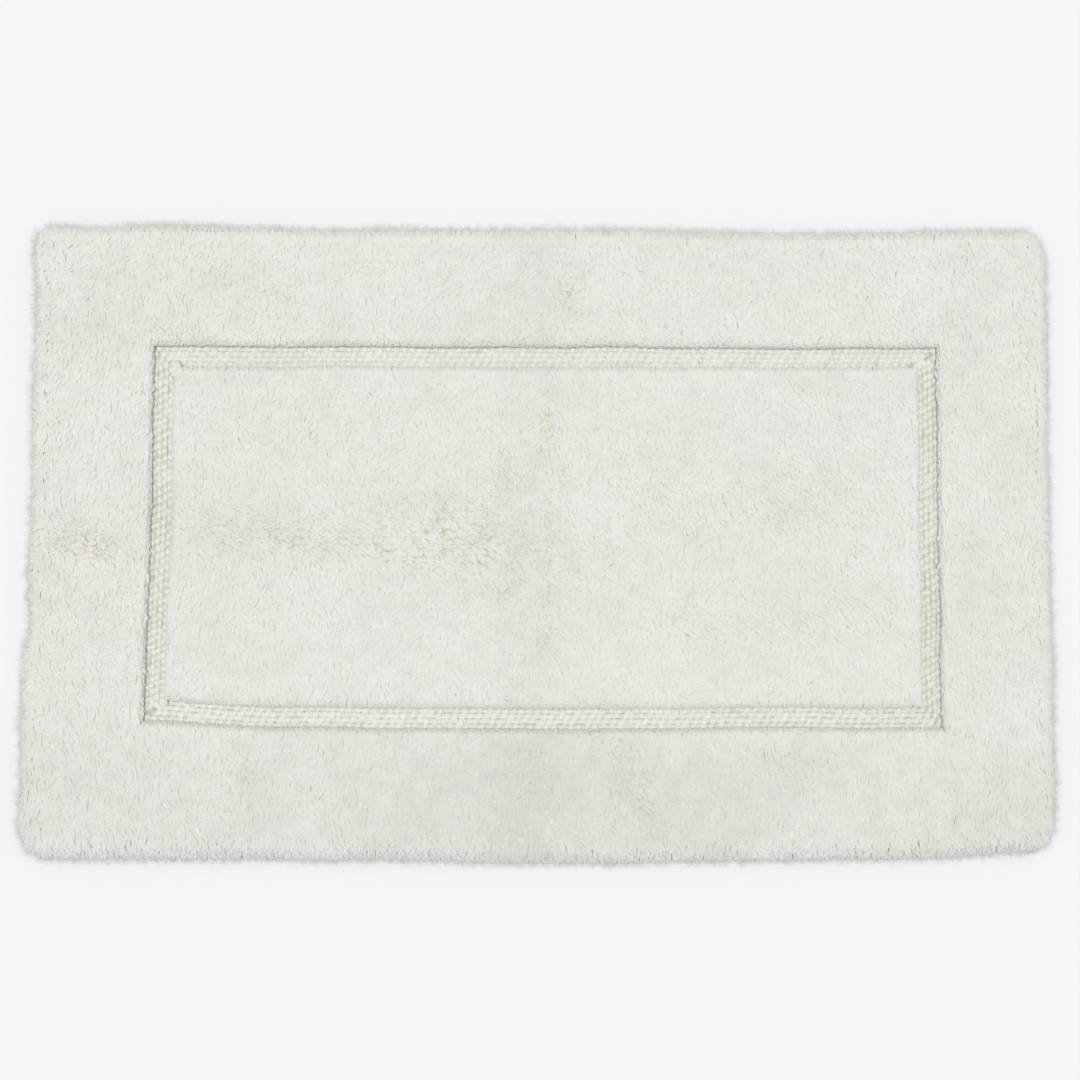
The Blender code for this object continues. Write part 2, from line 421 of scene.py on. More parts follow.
def flow(x, y):
    turn = 0.35 * soft_noise(x, y, 0.055, 31) + 0.40 * soft_noise(x, y, 0.014, 32)
    along, up = np.sin(turn), -np.cos(turn)
    along = along + 0.6 * fold_away(x, 0.004, 0.016) * smooth(0.16, 0.13, abs(y))
    up = up + 0.4 * fold_away(y, -0.009, 0.020) * smooth(0.02, -0.03, x)
    parted, toward_x, toward_y = parting(x, y)
    along = along * (1 - 0.8 * parted) + 1.3 * toward_x
    up = up * (1 - 0.8 * parted) + 1.3 * toward_y
    length = np.hypot(along, up) + 0.15
    return along / length, up / length


def painted_shade_and_wear(x, y):
    """How far the tips are greyed, from 0 to 1: painted shade towards the front and along the fold,
    plus grey at the sides and in random clouds.
    """
    # Painted shade: greyer towards the front, where the light falls off, and along the middle fold
    # and in the patch beside it.
    front = 0.38 * smooth(-0.13, -0.20, y) * (1 - 0.5 * smooth(0.10, 0.30, abs(x)))
    sides = 0.08 * smooth(0.30, 0.33, abs(x))
    fold = 0.16 * bump(x, -0.008, 0.030)
    patch = 0.15 * bump(x, -0.012, 0.030) * smooth(-0.13, -0.17, y)
    cloud = 0.10 + 0.10 * soft_noise(x, y, 0.045, 25) + 0.16 * soft_noise(x, y, 0.010, 26)
    edge = 0.2 * smooth(0.235, 0.25, abs(y))
    return np.clip(front + sides + fold + patch + cloud - edge, 0, 1)


def crease_depth(x, y):
    """How much lower the pile stands, in metres."""
    upright = 1.6 * MM * bump(x, 0.006, 0.006) * (0.5 + 0.5 * soft_noise(x, y, 0.012, 43))
    level = 1.6 * MM * bump(y, -0.008, 0.010) * smooth(0.01, -0.03, x)
    low = 0.7 * MM * soft_noise(x, y, 0.030, 41) + 0.4 * MM * soft_noise(x, y, 0.011, 42)
    return np.maximum(upright, level) + low


# %% [markdown]
# ## Where the yarn ends are
# Tips are what is seen, so the tips are placed first and each yarn is drawn back from its tip to its
# foot. On the flat they follow a hexagonal grid, each pushed off its place. Round every shoulder
# they follow rings, from the floor up over the edge, so that the sides are as full as the top.

# %% Tips on the flat
PITCH = 1.85 * MM
ROW_PITCH = 2.5 * MM
SHOULDER = 12 * MM
INNER_SHOULDER = 2.8 * MM
BULGE_HEIGHT = 8 * MM
FOOT_SPREAD = 4 * MM
FULL_LEAN_AT = 0.29

# The wall of the channel, as steps back from its foot, heights in mm and rises in degrees.
CHANNEL_WALL = (
    (-0.7, 9.5, 20), (-1.9, 11.6, 45), (-1.5, 13.0, 45), (-1.2, 14.5, 45),
    (-0.9, 16.0, 50), (-0.6, 17.5, 50), (-0.3, 18.9, 55), (0.2, 20.2, 60),
    (0.8, 21.4, 65), (1.6, 22.6, 70), (2.6, 23.5, 80),
)


def square_inset(x, y):
    """Distance in from the outer edge, as if its corners were square."""
    return np.minimum(half_x - abs(x), half_y - abs(y))


def inset_of(x, y):
    """Distance in from the rounded outer edge."""
    over_x, over_y = abs(x) - (half_x - CORNER), abs(y) - (half_y - CORNER)
    inner = np.minimum(np.maximum(over_x, over_y), 0)
    return CORNER - np.hypot(np.maximum(over_x, 0), np.maximum(over_y, 0)) - inner


def lean(points):
    """Leans the pile beside the channel towards the middle of the mat and towards its front."""
    x, y, height = points.T
    inset = square_inset(x, y)
    away = np.maximum(np.maximum(border_inner - inset, inset - panel_inset), 0)
    share = smooth(16 * MM, 4 * MM, away) * smooth(11 * MM, 22 * MM, height) * MM
    points[:, 0] -= share * np.clip(x / FULL_LEAN_AT, -1, 1)
    points[:, 1] -= (0.5 + 1.1 * smooth(-0.15, 0.15, y)) * share
    return points


def flat_tips():
    rows = np.arange(-half_y, half_y, ROW_PITCH)
    x, y = np.meshgrid(np.arange(-half_x, half_x, PITCH), rows)
    x = x + (np.arange(len(rows)) % 2)[:, None] * PITCH / 2
    draw = chance(51)
    x = x.ravel() + draw.uniform(-0.40, 0.40, x.size) * PITCH
    y = y.ravel() + draw.uniform(-0.50, 0.50, y.size) * ROW_PITCH
    inset = square_inset(x, y)
    on_border = (inset_of(x, y) > SHOULDER) & (inset < border_inner - INNER_SHOULDER)
    on_panel = inset > panel_inset + INNER_SHOULDER
    kept = on_border | on_panel
    x, y = x[kept], y[kept]
    tips = np.stack([x, y, np.full(len(x), pile_top)], 1)
    return tips, np.tile((0.0, 0.0, 1.0), (len(x), 1)), on_panel[kept]


def ring_radius(inset, corner):
    return max(corner - inset, 0.3 * MM)


def ring_length(inset, corner):
    radius = ring_radius(inset, corner)
    return 4 * (half_x + half_y - 2 * inset - 2 * radius) + 2 * math.pi * radius


def ring_places(inset, corner, along):
    """Points in plan, and their outward directions, at distances along a ring round the mat."""
    radius = ring_radius(inset, corner)
    side_x, side_y = half_x - inset - radius, half_y - inset - radius
    quarter = math.pi / 2 * radius
    lengths = np.array([2 * side_y, quarter, 2 * side_x, quarter] * 2)
    ends = np.cumsum(lengths)
    along = along % ends[-1]
    part = np.searchsorted(ends, along, side="right").clip(0, 7)
    local = along - (ends - lengths)[part]
    side, straight = part // 2, part % 2 == 0
    turn = side * math.pi / 2
    angle = np.where(straight, turn, turn + local / radius)
    slide = np.where(straight, local, lengths[side * 2]) - lengths[side * 2] / 2
    outward = np.stack([np.cos(angle), np.sin(angle)], 1)
    first = np.stack([np.cos(turn), np.sin(turn)], 1)
    tangent = np.stack([-first[:, 1], first[:, 0]], 1)
    depth = np.where(side % 2 == 0, side_x, side_y)
    return first * depth[:, None] + tangent * slide[:, None] + outward * radius, outward


def ring_tips(inset, height, rise, corner, seed, facing=1):
    """Tips on one ring: their normals rise by an angle and look outwards, or inwards for -1."""
    total = ring_length(inset, corner)
    count = int(total / PITCH)
    draw = chance(seed)
    along = (np.arange(count) + draw.uniform(-0.4, 0.4, count)) / count * total
    plan, outward = ring_places(inset, corner, along)
    tips = np.column_stack([plan, np.full(count, height)])
    level = outward * math.cos(rise) * facing
    return tips, np.column_stack([level, np.full(count, math.sin(rise))])


def shoulder_rings(steps, start, end, centre, radii):
    """Insets, heights and rises along a quarter-ellipse, evenly by arc."""
    angles = np.radians(np.linspace(start, end, steps))
    inset = centre[0] - radii[0] * np.cos(angles)
    height = centre[1] + radii[1] * np.sin(angles)
    return zip(inset, height, angles, strict=True)


def edge_tips():
    groups = []
    foot_rise = BULGE_HEIGHT - 1.5 * MM
    foot_centre = (FOOT_SPREAD + 2 * MM, BULGE_HEIGHT)
    outer = list(shoulder_rings(4, -70, -10, foot_centre, (FOOT_SPREAD, foot_rise)))
    outer += shoulder_rings(9, 8, 82, (SHOULDER, BULGE_HEIGHT), (SHOULDER, pile_top - BULGE_HEIGHT))
    for index, (inset, height, rise) in enumerate(outer):
        groups.append((*ring_tips(inset, height, rise, CORNER, 60 + index), False, False))
    for index, (back, height, rise) in enumerate(CHANNEL_WALL):
        wall = (height * MM, math.radians(rise), 0)
        border = ring_tips(border_inner - back * MM, *wall, 80 + index, -1)
        panel = ring_tips(panel_inset + back * MM, *wall, 100 + index)
        groups += [(*border, False, True), (*panel, True, True)]
    counts = [len(group[0]) for group in groups]
    tips, normals = (np.concatenate([group[part] for group in groups]) for part in (0, 1))
    on_panel, in_channel = (np.repeat([group[part] for group in groups], counts) for part in (2, 3))
    return tips, normals, on_panel, in_channel


flat = flat_tips()
edge = edge_tips()
flat_count, edge_count = len(flat[0]), len(edge[0])
tips, normals, on_panel = (np.concatenate(pair) for pair in zip(flat, edge[:3], strict=True))
in_channel = np.append(np.zeros(flat_count, bool), edge[3])
print("yarn ends:", len(tips), "of which round the edges:", edge_count)

# %% [markdown]
# ## Clumps
# Washed cotton felts a little: neighbouring yarn ends cling together and leave clefts between the
# clumps. Each tip is drawn towards the nearest of a set of scattered centres, hardly at all on calm
# pile and strongly where it is parted.


# %% Drawing tips into clumps
CLUMP_CELLS = 257
LOCK_SIZE = 5.5 * MM
TUFT_SIZE = 5 * MM
SCALLOP_SIZE = 8.5 * MM


def pull_to_clumps(x, y, size, seed):
    """The move from each point to its nearest clump centre."""
    off_x, off_y = chance(seed).uniform(0.1, 0.9, (2, CLUMP_CELLS, CLUMP_CELLS))
    i, j = np.floor(x / size).astype(int), np.floor(y / size).astype(int)
    best = np.full(x.shape, np.inf)
    pull_x, pull_y = np.zeros_like(x), np.zeros_like(y)
    for step_i in (-1, 0, 1):
        for step_j in (-1, 0, 1):
            a, b = i + step_i, j + step_j
            cell = (a % CLUMP_CELLS, b % CLUMP_CELLS)
            centre_x, centre_y = (a + off_x[cell]) * size, (b + off_y[cell]) * size
            apart = np.hypot(centre_x - x, centre_y - y)
            nearer = apart < best
            best = np.where(nearer, apart, best)
            pull_x = np.where(nearer, centre_x - x, pull_x)
            pull_y = np.where(nearer, centre_y - y, pull_y)
    return pull_x, pull_y


draw = chance(7)
tips = lean(tips)
x, y = tips[:, 0].copy(), tips[:, 1].copy()
parted = parting(x, y)[0]
worn = painted_shade_and_wear(x, y)
flow_x, flow_y = flow(x, y)
upright = np.clip(normals[:, 2], 0, 1)
tips[:, 2] -= crease_depth(x, y) * upright
tips[:, 2] += draw.normal(0, 0.25 * MM, len(tips)) * upright
lock_x = pull_to_clumps(x, y / 2.2, LOCK_SIZE, 71)[0]
tuft_x, tuft_y = pull_to_clumps(x / 1.6, y, TUFT_SIZE, 72)
tips[:, 0] += (0.15 * (1 - parted) * lock_x + 0.5 * parted * tuft_x) * upright
tips[:, 1] += 0.5 * parted * tuft_y * upright
# Painted shade: how much of the tan cleft colour each yarn takes where the pile is parted, a few
# yarns strongly.
warm = parted * (0.24 + 1.3 * draw.uniform(0, 1, len(tips)) ** 5)
scallop_x = pull_to_clumps(x, 0 * y, SCALLOP_SIZE, 73)[0]
scallop_y = pull_to_clumps(0 * x, y, SCALLOP_SIZE, 74)[1]
pulled = (1 - upright) * 0.2
tips[:, 0] += pulled * scallop_x * abs(normals[:, 1])
tips[:, 1] += pulled * scallop_y * abs(normals[:, 0])
# Painted shade: yarn ends on the channel walls take a random share of the tan cleft colour.
warm[flat_count:] += edge[3] * draw.uniform(0, 0.5, edge_count)
ragged = edge[3] * draw.normal(0, 0.35 * MM, edge_count)
tips[flat_count:, :2] += ragged[:, None] * edge[1][:, :2]
print("mean parting:", round(float(parted.mean()), 3), "and wear:", round(float(worn.mean()), 3))

# %% [markdown]
# On the flat a yarn end lies along the flow. On a shoulder its own weight takes over: it stands out
# from the edge and hangs, as thatch does, and in the channel it spreads out over the loops. A yarn
# whose foot would come out over the loops or past the edge is turned back and stands up more.

# %% The direction of each yarn
FOOT_REACH = 7 * MM
LOOP_MARGIN = 1.5 * MM
EDGE_MARGIN = 5 * MM
side_ways = 1 - upright**2
hang = np.column_stack([normals[:, :2], np.full(len(tips), -0.8)])
hang[in_channel] *= (1, 1, 0)
lying = np.column_stack([flow_x, flow_y, np.zeros(len(tips))])
outward = normals[:, :2] / np.maximum(np.hypot(normals[:, 0], normals[:, 1]), 1e-6)[:, None]
against = np.minimum((lying[:, :2] * outward).sum(1), 0)
lying[:, :2] -= 1.7 * against[:, None] * outward
lying = lying * (1 - side_ways)[:, None] + hang * side_ways[:, None]
directions = lying + normals * (0.33 + 0.35 * parted + 0.4 * side_ways)[:, None]
directions = unit(directions + draw.normal(0, 0.17, directions.shape) * (1, 1, 0.4))


def off_the_pile(x, y):
    """Whether a point in plan is beyond the outer edge or over the loops."""
    inset = square_inset(x, y)
    over_loops = (inset > border_inner - LOOP_MARGIN) & (inset < panel_inset + LOOP_MARGIN)
    return over_loops | (inset_of(x, y) < EDGE_MARGIN)


feet = tips - directions * FOOT_REACH
standing = off_the_pile(feet[:, 0], feet[:, 1]) & (upright > 0.9)
directions[standing] = directions[standing] * (-0.6, -0.6, 1) + (0, 0, 0.3)
directions = unit(directions)
print("yarns turned back at the edges:", int(standing.sum()))
print("mean direction:", np.round(directions.mean(0), 2))

# %% [markdown]
# ## One yarn end, tens of thousands of times
# A yarn end is a short lock with five sides, widest in its middle, flattened as it lies and closed
# in a soft point at its tip and its foot. All of them are worked out together: one array holds every
# ring of every yarn. Each yarn also gets its own small cell of a UV map, so that its colours can be
# baked without yarns lying on top of each other.

# %% Yarn tubes
# A shape is its rings, as places along the yarn and widths, its number of sides and its flatness.
YARN = (((0.52, 1.0), (0.91, 0.80)), 5, 0.5)
YARN_LENGTH = 8.5 * MM
YARN_RADIUS = 1.3 * MM


def across_frame(directions, turn):
    """Two directions square to each yarn: one level, turned by a small angle, and one upwards."""
    level = unit(np.cross((0.0, 0.0, 1.0), directions) + (1e-6, 0.0, 0.0))
    above = np.cross(directions, level)
    c, s = np.cos(turn)[:, None], np.sin(turn)[:, None]
    return level * c + above * s, above * c - level * s


def yarn_points(tips, directions, lengths, radii, bends, turn, shape):
    """The points of every yarn, and which way each point faces from its yarn's middle."""
    rings, around, flatness = shape
    level, above = across_frame(directions, turn)
    roots = tips - directions * lengths[:, None] - bends
    points, facing = [roots], [-directions]
    for share, swell in rings:
        centre = roots + directions * (lengths * share)[:, None] + bends * share**2
        for side in range(around):
            angle = 2 * math.pi * (side + 0.25) / around
            offset = level * math.cos(angle) + above * flatness * math.sin(angle)
            points.append(centre + offset * (radii * swell)[:, None])
            facing.append(level * math.cos(angle) * flatness + above * math.sin(angle))
    points.append(tips)
    facing.append(directions)
    return np.stack(points, 1), np.stack(facing, 1)


def tube_faces(layers, around):
    """Quads between each ring of a tube and the next."""
    start = np.arange(layers - 1)[:, None] * around
    low = (start + np.arange(around)).ravel()
    after = (start + (np.arange(around) + 1) % around).ravel()
    return np.stack([low, after, after + around, low + around], 1)


def repeat_faces(count, size, parts):
    """The same faces for each of so many shapes, whose points follow one another."""
    base = (np.arange(count) * size)[:, None, None]
    return [(base + part[None]).reshape(-1, part.shape[1]) for part in parts]


def yarn_faces(count, shape):
    """Faces of so many yarns: each has a foot point, some rings and a tip point."""
    rings, around = len(shape[0]), shape[1]
    size = rings * around + 2
    sides = np.arange(around)
    after = (sides + 1) % around
    last = 1 + (rings - 1) * around
    caps = np.stack([last + sides, last + after, np.full(around, size - 1)], 1)
    foot = np.stack([1 + after, 1 + sides, np.zeros(around, int)], 1)
    return repeat_faces(count, size, (1 + tube_faces(rings, around), caps, foot))


def tube_map(levels, around):
    """UV corners of tube_faces, as (faces, corners, 2), with the rings at the given levels."""
    step = 1 / around
    quads = []
    for low, high in zip(levels, levels[1:], strict=False):
        for left in np.arange(around) * step:
            quads.append([(left, low), (left + step, low), (left + step, high), (left, high)])
    return np.array(quads)


def repeat_map(count, parts):
    """The same UV corners for each of so many shapes, each in its own cell."""
    across = math.ceil(math.sqrt(count))
    cell = np.arange(count)
    corner = (np.stack([cell % across, cell // across], 1) / across)[:, None]
    return np.concatenate([(corner + part[None] / across).reshape(-1, 2) for part in parts])


def yarn_map(count, shape):
    """UV corners in the order of yarn_faces: each yarn unrolled in its own cell."""
    rings, around = len(shape[0]), shape[1]
    levels = np.linspace(0.3, 0.8, rings)
    step = 1 / around
    caps, foot = [], []
    for left in np.arange(around) * step:
        caps += [(left, levels[-1]), (left + step, levels[-1]), (left + step / 2, 1.0)]
        foot += [(left + step, levels[0]), (left, levels[0]), (left + step / 2, 0.0)]
    parts = (tube_map(levels, around).reshape(-1, 2), caps, foot)
    return repeat_map(count, [np.array(part) * 0.9 + 0.05 for part in parts])


def along_of(shape):
    """How far along its yarn each point is."""
    return np.array([0.0] + [share for share, swell in shape[0] for side in range(shape[1])] + [1.0])


def add_map(piece, corners):
    layer = piece.data.uv_layers.new(name="OFBake", do_init=False)
    layer.uv.foreach_set("vector", corners.astype(np.float32).ravel())


count = len(tips)
lengths = YARN_LENGTH * draw.uniform(0.9, 1.1, count)
lengths = np.where(upright < 0.5, lengths * 0.85, lengths)
radii = YARN_RADIUS * draw.uniform(0.82, 1.16, count)
bends = np.column_stack([draw.normal(0, 0.6, (count, 2)), np.full(count, -1.1)]) * MM
turns = draw.normal(0, 0.35, count)
tones = draw.uniform(-1, 1, (count, 1)) * 0.5 + draw.uniform(-1, 1, (count, YARN[1])) * 0.5
yarns, facing = yarn_points(tips, directions, lengths, radii, bends, turns, YARN)
yarns[:, :, 2] = np.maximum(yarns[:, :, 2], 0.4 * MM)

# %% [markdown]
# Light doesn't stop at the skin of a lock of cotton, it passes through and blurs the shading. The
# mesh says the same with its normals: each is turned most of the way towards that of the pile as a
# whole, as is done for grass and fur.

# %% Soft normals
OWN_SHARE = 0.15
pile_normals = normals + (0, 0, 2.2) * side_ways[:, None]
pile_normals[in_channel] = normals[in_channel] * 0.35 + (0, 0, 1)
soft = unit(unit(facing) * OWN_SHARE + unit(pile_normals)[:, None] * (1 - OWN_SHARE))
print("lowest yarn point:", round(float(yarns[:, :, 2].min()) / MM, 2), "mm")

# %% Yarn pieces
MOST_YARNS = 9800


def yarn_piece(name, chosen):
    faces = yarn_faces(len(chosen), YARN)
    piece = make_piece(name, yarns[chosen].reshape(-1, 3), faces, cut_pile, "cut_pile")
    per_yarn = yarns.shape[1]
    middle = tones[chosen].mean(1, keepdims=True)
    streaks = np.hstack([middle] + [tones[chosen]] * len(YARN[0]) + [middle])
    add_numbers(
        piece,
        along=np.tile(along_of(YARN), len(chosen)),
        tone=streaks.ravel(),
        warm=np.repeat(warm[chosen], per_yarn),
        worn=np.repeat(worn[chosen], per_yarn),
    )
    add_map(piece, yarn_map(len(chosen), YARN))
    piece.data.normals_split_custom_set_from_vertices(soft[chosen].reshape(-1, 3))


def side_of(points):
    """Which side of the mat a point is nearest to, as a place in SIDES."""
    x, y = points[:, 0], points[:, 1]
    far_x, far_y = half_x - abs(x), half_y - abs(y)
    return np.where(far_y < far_x, np.where(y < 0, 0, 2), np.where(x > 0, 1, 3))


def split_evenly(chosen, axis):
    """Cuts a set of yarns into equal blocks along X or Y, few enough yarns to a block."""
    blocks = math.ceil(len(chosen) / MOST_YARNS)
    return np.array_split(chosen[np.argsort(tips[chosen, axis], kind="stable")], blocks)


zones = {"centre": (np.flatnonzero(on_panel), 0)}
border_side = side_of(tips)
for index, side in enumerate(SIDES):
    zones[f"border_{side}"] = (np.flatnonzero(~on_panel & (border_side == index)), index % 2)
for zone, (chosen, axis) in zones.items():
    for number, block in enumerate(split_evenly(chosen, axis), 1):
        yarn_piece(f"{zone}_yarns_{number}", block)
    print(zone, "yarns:", len(chosen))

# %% [markdown]
# ## The bed of the pile
# Between the yarn ends one looks down into more yarn. A low, uneven bed under the tips stands for
# those depths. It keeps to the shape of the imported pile, about a millimetre lower and a few
# millimetres further in round the outside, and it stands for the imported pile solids.

# %% Pile beds
def turn_side(points, side):
    """Turns what was made along the front about Z to another side."""
    angle = SIDES.index(side) * math.pi / 2
    c, s = math.cos(angle), math.sin(angle)
    turned = points.copy()
    turned[..., 0] = c * points[..., 0] - s * points[..., 1]
    turned[..., 1] = s * points[..., 0] + c * points[..., 1]
    return turned


def half_sizes(side):
    """Half the mat's length along a side, and half its size across."""
    return (half_y, half_x) if SIDES.index(side) % 2 else (half_x, half_y)


BED_DEPTH = 0.9 * MM
BED_STATIONS = 91
MITRE_GAP = 0.05 * MM


def sweep(rings):
    """Skin of a stack of rings with equal counts, closed at both ends."""
    layers, around = len(rings), len(rings[0])
    turn = np.arange(around)[None]
    ends = [turn[:, ::-1], (layers - 1) * around + turn]
    return np.concatenate(rings), [tube_faces(layers, around), *ends]


def bar_along(side, profile, stations):
    """A bar along one side with mitred ends; its profile, of (inset, height), has it on its left."""
    half_along, half_across = half_sizes(side)
    rings = []
    for share in np.linspace(-1, 1, stations):
        ring = [(share * (half_along - inset), inset - half_across, rise) for inset, rise in profile]
        rings.append(np.array(ring))
    points, faces = sweep(rings)
    return turn_side(points, side), faces


def bed_profile():
    """Points of (inset, height) round the bed of a border, from its outer foot to its inner."""
    top, inner = pile_top - BED_DEPTH, border_inner
    profile = [(cloth_inset - 1.5 * MM, 1.6 * MM), (cloth_inset - 3.5 * MM, 5 * MM)]
    profile += [(cloth_inset - 3 * MM, 12 * MM), (cloth_inset + 1 * MM, top - 2 * MM)]
    profile += [(cloth_inset + 5 * MM, top)]
    profile += [(inset, top) for inset in np.linspace(cloth_inset + 12 * MM, inner - 8 * MM, 14)]
    profile += [(inner - 4 * MM, top - 0.8 * MM), (inner - 1.6 * MM, 19.2 * MM)]
    profile += [(inner - 0.2 * MM, 12.5 * MM), (inner - 0.1 * MM, pile_foot)]
    return profile + [(cloth_inset + 2 * MM, pile_foot), (cloth_inset - 1.4 * MM, pile_foot)]


def border_bed(side):
    half_along, half_across = half_sizes(side)
    rings = []
    for station in np.linspace(-1, 1, BED_STATIONS):
        ring = []
        for inset, height in reversed(bed_profile()):
            corner = max(CORNER - inset, 0) * (1 - math.sqrt(0.5))
            place = station * (half_along - inset - MITRE_GAP - corner)
            start, end = half_along - 3 * corner, half_along - corner + 0.01 * MM
            round_off = corner * smooth(start, end, abs(place))
            ring.append((place, -(half_across - inset - round_off), height))
        rings.append(np.array(ring))
    points, faces = sweep(rings)
    return turn_side(points, side), faces


def steps_between(low, high, step):
    return np.linspace(low, high, max(2, round((high - low) / step) + 1))


def cell_block(xs, ys, bottom, top, kept=None):
    """A closed block whose top and bottom are small cells; cells that aren't kept are left open."""
    x, y = np.meshgrid(xs, ys, indexing="ij")
    kept = np.ones((len(xs) - 1, len(ys) - 1), bool) if kept is None else kept
    upper = np.stack([x.ravel(), y.ravel(), np.full(x.size, top)], 1)
    lower = upper.copy()
    lower[:, 2] = bottom
    index = np.arange(x.size).reshape(x.shape)
    corners = (index[:-1, :-1], index[1:, :-1], index[1:, 1:], index[:-1, 1:])
    cells = np.stack([corner[kept] for corner in corners], 1)
    edges = np.concatenate([cells[:, (side, (side + 1) % 4)] for side in range(4)])
    reverse = {(b, a) for a, b in edges.tolist()}
    rim = np.array([edge for edge in edges.tolist() if tuple(edge) not in reverse])
    walls = np.stack([rim[:, 0] + x.size, rim[:, 1] + x.size, rim[:, 1], rim[:, 0]], 1)
    faces = np.concatenate([cells, cells[:, ::-1] + x.size, walls])
    used, renumbered = np.unique(faces, return_inverse=True)
    return np.concatenate([upper, lower])[used], [renumbered.reshape(faces.shape)]


def roughen(points, floor):
    """Presses the upper side of a bed into the folds of the pile."""
    high = smooth(12 * MM, 17 * MM, points[:, 2])
    points[:, 2] -= high * crease_depth(points[:, 0], points[:, 1])
    points[:, 2] -= high * 0.8 * MM * parting(points[:, 0], points[:, 1])[0]
    points[:, 2] = np.maximum(points[:, 2], floor)
    return points


def add_bed(name, points, faces, node):
    points = roughen(lean(points), points[:, 2].min())
    piece = make_piece(name, points, faces, pile_bed, "cut_pile", [node])
    # Painted shade: the bed's share of darker tan follows the parting.
    add_numbers(piece, warm=parting(points[:, 0], points[:, 1])[0] * 0.6)
    own = np.empty(len(points) * 3)
    piece.data.vertices.foreach_get("normal", own)
    own = own.reshape(-1, 3) + (points[:, 2:] > pile_foot + MM) * (0, 0, 2.5)
    piece.data.normals_split_custom_set_from_vertices(unit(own))


def bed_finish():
    finish = Finish("pile_bed_cotton", Roughness=0.95, Specular_IOR_Level=0.15, Sheen_Weight=0.2)
    grain = finish.noise(420.0, 3.0)
    deep = finish.blend(shade(230, 227, 217), shade(240, 239, 232), grain, 0.35, 0.65)
    # Painted shade: where the pile is parted the bed turns a darker tan.
    tan = finish.blend(shade(190, 178, 146), shade(222, 213, 188), grain, 0.35, 0.65)
    finish.feed(Base_Color=finish.mix(deep, tan, finish.number("warm")))
    finish.bumps(grain, 0.3 * MM)
    return finish.material


pile_bed = bed_finish()
for side in SIDES:
    add_bed(f"border_bed_{side}", *border_bed(side), f"border_pile_{side}")
panel_x = steps_between(panel_low.x + 0.2 * MM, panel_high.x - 0.2 * MM, 2.6 * MM)
panel_y = steps_between(panel_low.y + 0.2 * MM, panel_high.y - 0.2 * MM, 2.6 * MM)
bed_points, bed_faces = cell_block(panel_x, panel_y, pile_foot, pile_top - BED_DEPTH)
rim = np.minimum(panel_high.x - abs(bed_points[:, 0]), panel_high.y - abs(bed_points[:, 1]))
on_top = bed_points[:, 2] > pile_foot + MM
slope = np.array([(0.2, 12.5), (2.8, 20.5), (5.4, 22.8), (8.0, 24.0)]) * MM
bed_points[on_top, 2] = np.minimum(bed_points[on_top, 2], np.interp(rim[on_top], *slope.T))
add_bed("centre_bed", bed_points, bed_faces, "centre_pile")
print("beds stand", round((pile_top - BED_DEPTH) / MM, 1), "mm high")

# %% [markdown]
# ## The frame of loops
# Where the yarn isn't cut it stays a row of low loops. A loop is an arch of two-ply yarn, set at a
# slant to its row. The loops stand in pairs, and each row starts one row's width after the last, so
# that the same diagonals run between the pairs on all four sides.

# %% Loops
PAIR_PITCH = 12.6 * MM
PAIR_HALF = 3.0 * MM
LOOP_SIDES = 8
LOOP_STEPS = 9
LOOP_RADIUS = 2.6 * MM
LOOP_SPAN = 0.7 * MM
LOOP_SLANT = 14
BODY_DEPTH = 1.9 * MM
BODY_STATIONS = 61
BODY_SHARE = 0.12
# Painted shade: the loop feet on the left and right rows are tinted much further towards the tan
# cleft colour than at the front and back.
SIDE_CLEFT_SHADE = {"front": 0.1, "right": 0.7, "back": 0.1, "left": 0.7}


def loop_shape(seed, count):
    """Arches side by side along X, each slanted, as points of (count, rings, sides, 3)."""
    draw = chance(seed)
    swing = np.linspace(-0.62, 0.62, LOOP_STEPS) * math.pi
    slant = np.radians(LOOP_SLANT + draw.normal(0, 9, count))
    tall = (loop_top - pile_foot - LOOP_RADIUS) * draw.uniform(0.9, 1.04, count)
    span = LOOP_SPAN * draw.uniform(0.85, 1.15, count)
    radius = LOOP_RADIUS * draw.uniform(0.92, 1.08, count)
    path_x = span[:, None] * np.sin(swing)[None]
    path_z = (tall - span)[:, None] + span[:, None] * np.cos(swing)[None]
    path_z[:, (0, -1)] = 0.3 * MM
    path_x[:, (0, -1)] *= 0.8
    tangent = unit(np.gradient(np.stack([path_x, path_z], -1), axis=1))
    normal = np.stack([-tangent[..., 1], tangent[..., 0]], -1)
    angle = 2 * math.pi * np.arange(LOOP_SIDES) / LOOP_SIDES
    twist = np.linspace(0, 2.6 * math.pi, LOOP_STEPS)
    ply = 1 + 0.11 * np.cos(2 * (angle[None, :] - twist[:, None]))
    thick = radius[:, None, None] * ply[None]
    thick[:, (0, -1)] *= 0.8
    out, side = thick * np.cos(angle), thick * np.sin(angle)
    x = path_x[..., None] + normal[..., 0:1] * out
    z = path_z[..., None] + normal[..., 1:2] * out
    c, s = np.cos(slant)[:, None, None], np.sin(slant)[:, None, None]
    return np.stack([x * c - side * s, x * s + side * c, np.maximum(z, 0)], -1)


def loop_faces(count):
    size = LOOP_STEPS * LOOP_SIDES
    turn = np.arange(LOOP_SIDES)[None]
    quads = tube_faces(LOOP_STEPS, LOOP_SIDES)[:, ::-1]
    return repeat_faces(count, size, (quads, turn, size - LOOP_SIDES + turn[:, ::-1]))


